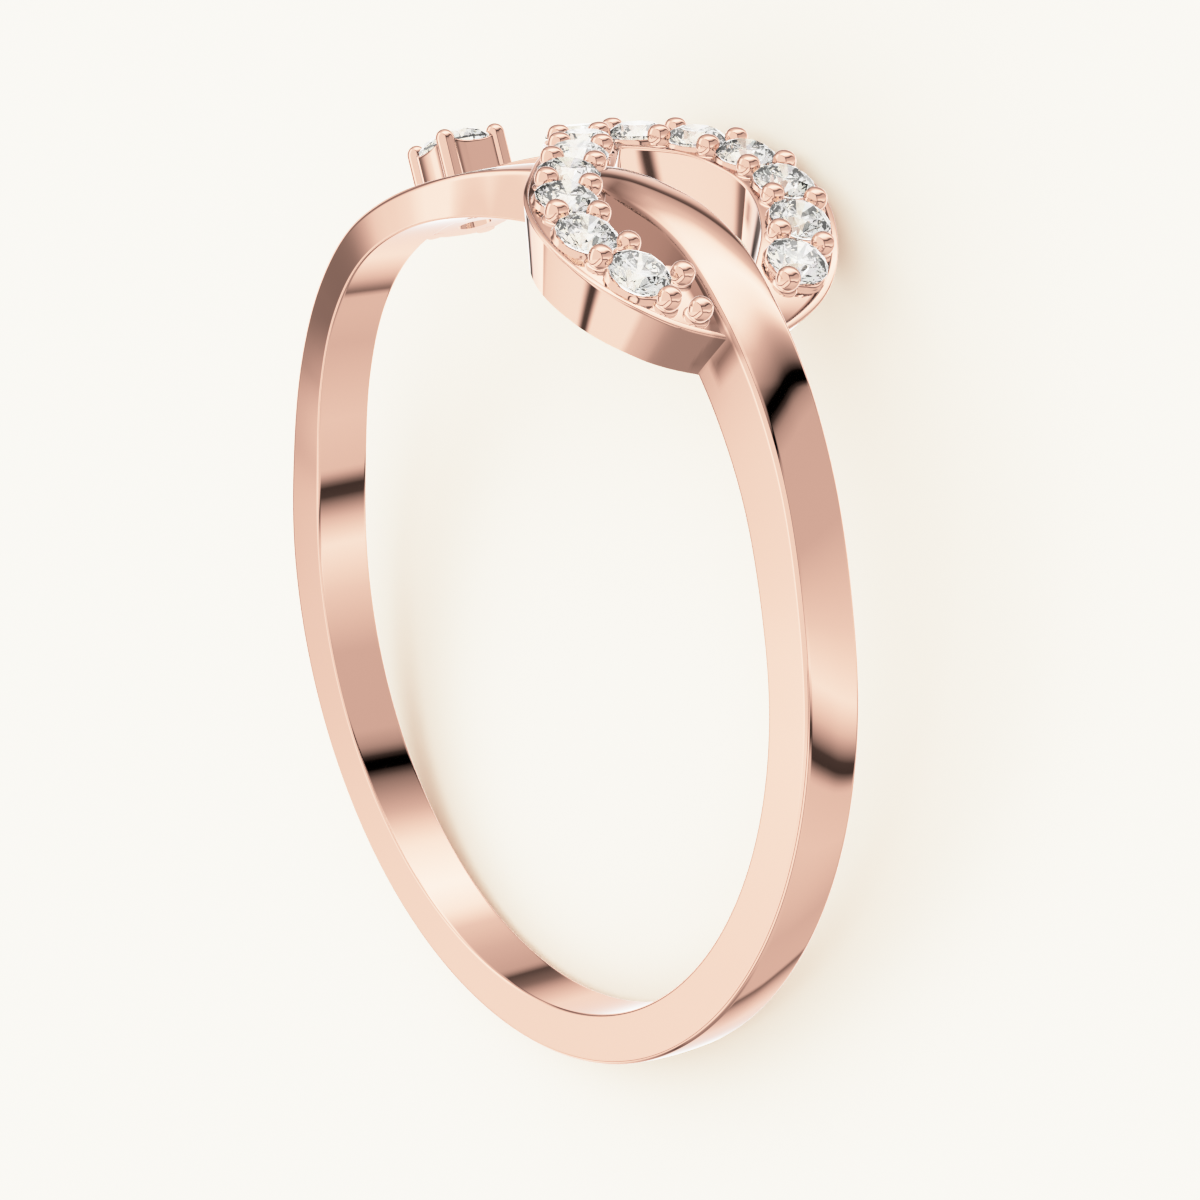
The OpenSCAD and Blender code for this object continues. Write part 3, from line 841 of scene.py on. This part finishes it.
# Collar under a stone's girdle: distance from the stone's axis, height above the ring's face
COLLAR = np.array([
    [0.60, -0.12], [0.60, 0.045], [0.61, 0.056], [0.63, 0.052], [0.643, 0.033], [0.655, 0.005],
    [0.665, -0.025], [0.675, -0.05], [0.685, -0.075], [0.685, -0.12],
])
surface("seat_collars", [(turned(STONES, FACE_R, COLLAR, COLLAR_SIDES), True, True)], GOLD)

surface("beads", [(turned(bead_places(), FACE_R - LIP_DROP, bead_profile(), BEAD_SIDES),
                   False, True)], GOLD)

# %% [markdown]
# ## The four-prong cup and the bar
# The single stone stands in a short cup with an open hole under it, and four round wires
# hold it. The foot of the cup follows the finger hole, so its lowest points lie on a
# cylinder of the hole's radius. The wires are rods with round tops, and the cup's wall
# swells into each of them. A short bar ties the cup to the loop.

# %% Prong cup and bar
# The single stone: angle and side, height over the finger hole, width
SOLO_ANGLE, SOLO_SIDE, SOLO_H, SOLO_D = 114.75, -0.48, 1.71, 1.6
PRONG_TURNS = np.radians([45, 135, 225, 315])
PRONG_OUT, PRONG_R, PRONG_OVER, PRONG_SIDES = 0.87, 0.195, 0.15, 32
PRONG_DOME, PRONG_LENGTH = np.linspace(0, np.pi / 2, 9), np.array([0.97, 0.75, 0.5, 0.25, 0.0])
# Wall of the cup between two prongs, its swell into a prong, its rim's rise there
CUP_R, WEB_OUT, WEB_UP, WEB_THICK, CUP_SIDES = 0.80, 0.08, 0.12, 0.05, 192
# Its seat cone, the hole under it, and how far its foot stays off the finger hole
SEAT_IN, SEAT_SLOPE, RIM_DROP, AZURE_R, CUP_LIFT = 0.03, 0.86, 0.05, 0.36, 0.004
# Painted shade in the corner beside each prong: where on the star, how wide, how deep, on how many
# rows
SHADE_STAR, SHADE_WIDE, SHADE_DEEP, WALL_ROWS = 0.77, 0.10, 0.85, 9
LINK_TOP, LINK_LOW, LINK_LIP, LINK_STATIONS = 1.04, 0.7, (0.05, 0.01), 60


def on_hole(beside):
    """Height of the finger hole's surface at a distance beside the setting's axis."""
    return np.sqrt(BORE_R ** 2 - beside ** 2)


def prong_grid():
    """Four rods from the finger hole to a round head over the stone."""
    t = np.linspace(0, 2 * np.pi, PRONG_SIDES, endpoint=False)
    head = SOLO_H + SOLO_D * PRONG_OVER - PRONG_R
    reach = PRONG_R * np.concatenate([np.sin(PRONG_DOME), np.ones(len(PRONG_LENGTH))])
    top = np.concatenate([head + PRONG_R * np.cos(PRONG_DOME), head * PRONG_LENGTH])
    out = (PRONG_OUT * np.cos(PRONG_TURNS))[:, None, None] + reach[:, None] * np.cos(t)
    beside = (PRONG_OUT * np.sin(PRONG_TURNS))[:, None, None] + reach[:, None] * np.sin(t)
    return stand(out, beside, on_hole(beside) + top[:, None])


def stand(out, beside, height):
    """Side, tangent and height of the setting's own axes to ring millimetres."""
    a = math.radians(SOLO_ANGLE)
    return np.stack([height * math.cos(a) - beside * math.sin(a),
                     height * math.sin(a) + beside * math.cos(a), SOLO_SIDE + out], -1)


def cup_grid():
    """Closed wall turned about the setting's axis: outside, rim, seat cone, hole and foot.

    The star is 1 at a prong and 0 halfway between two. It swells the wall into each prong
    and lifts the rim beside it, as the solder and the file leave it.
    """
    t = np.linspace(0, 2 * np.pi, CUP_SIDES, endpoint=False)
    star = 0.5 - 0.5 * np.cos(4 * t)
    base = SOLO_H - SOLO_D * GIRDLE - SEAT_GAP - RIM_DROP
    wall = CUP_R + WEB_OUT * star
    rim = base + WEB_UP * star ** 2
    inner, hole = wall - WEB_THICK, AZURE_R + 0 * t
    seat = base - 0.01 + (inner - SOLO_D / 2 + SEAT_IN) * SEAT_SLOPE
    cone_foot = seat - (inner - hole) * SEAT_SLOPE
    rows = [
        (wall, 0), (wall, 0.02), (wall, rim / 4), (wall, rim / 2), (wall, rim * 0.75),
        (wall, rim - 0.06), (wall, rim - 0.03), (wall - 0.008, rim - 0.01), (wall - 0.025, rim),
        (inner + 0.015, rim), (inner, rim - 0.012), (inner, seat), (hole + 0.01, cone_foot + 0.01),
        (hole, cone_foot - 0.01), (hole, 0.02), (hole, 0), (hole + 0.02, 0), (wall - 0.02, 0),
    ]
    reach = np.stack([r for r, _ in rows])
    up = np.stack([h + 0 * t for _, h in rows])
    out, beside = reach * np.cos(t), reach * np.sin(t)
    share = up / base
    height = on_hole(beside) * (1 - share) + BORE_R * share + up + CUP_LIFT * (1 - share)
    # Painted shade on the wall's rows beside each prong
    prong_shade = SHADE_DEEP * np.clip(1 - np.abs(star - SHADE_STAR) / SHADE_WIDE, 0, 1)
    depth = np.where(np.arange(len(rows))[:, None] < WALL_ROWS, prong_shade, 0.0)
    return stand(out, beside, height), True, True, depth


def link_grid():
    """The short bar, a small ribbon with hardly a lip."""
    path = np.array(LINK)
    ahead = np.gradient(path[:, :2], axis=0)
    go = heading(ahead[:, 0], ahead[:, 1], FACE_R)
    rows = np.concatenate([across(path, go, path[:, 2]), across(path, go, -path[:, 2])], 1)
    edges, upright = bent_spline(rows, LINK_STATIONS), np.zeros((1, 2))
    lip = np.tile(LINK_LIP, (LINK_STATIONS, 1))
    return ribbon_section(edges, BORE_R + LINK_TOP, BORE_R + LINK_LOW, upright, lip, LINK_LIP[1])


surface("prong_cup", [cup_grid(), (prong_grid(), False, True)], GOLD)
surface("link_bar", [(link_grid(), False, True)], GOLD)

# %% [markdown]
# ## The stones
# The stones are cut as brilliants, with flat facets that meet in sharp edges, and the frame
# already holds them. They need only their light: clear glass that bends light strongly,
# with a refractive index of 2.42, so the facets flash white and black. A real stone also
# splits the light into faint colours. Small cells of pale tint stand in for that fire.

# %% Stones
FIRE_CELLS, FIRE = 5200.0, 0.10
STONE_INDEX = 2.42


def clear_stone():
    """Clear, hard and bright: a smooth glass with a high index and cells of pale tint."""
    material = bpy.data.materials.new("clear_stone")
    material.use_nodes = True
    tree = material.node_tree
    shader = tree.nodes["Principled BSDF"]
    coords = add_node(tree, "ShaderNodeTexCoord").outputs["Object"]
    cells = add_node(tree, "ShaderNodeTexVoronoi", coords, None, FIRE_CELLS)
    fire = add_node(tree, "ShaderNodeMix", FIRE, None, None, None, None, None,
                    (1, 1, 1, 1), cells.outputs["Color"], data_type="RGBA").outputs[2]
    tree.links.new(fire, shader.inputs["Base Color"])
    shader.inputs["Roughness"].default_value = 0.0
    shader.inputs["IOR"].default_value = STONE_INDEX
    shader.inputs["Transmission Weight"].default_value = 1.0
    return material


STONE = clear_stone()
for name in stones:
    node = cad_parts[name]
    node.data.materials.clear()
    node.data.materials.append(STONE)
print("dressed", len(stones), "stones")
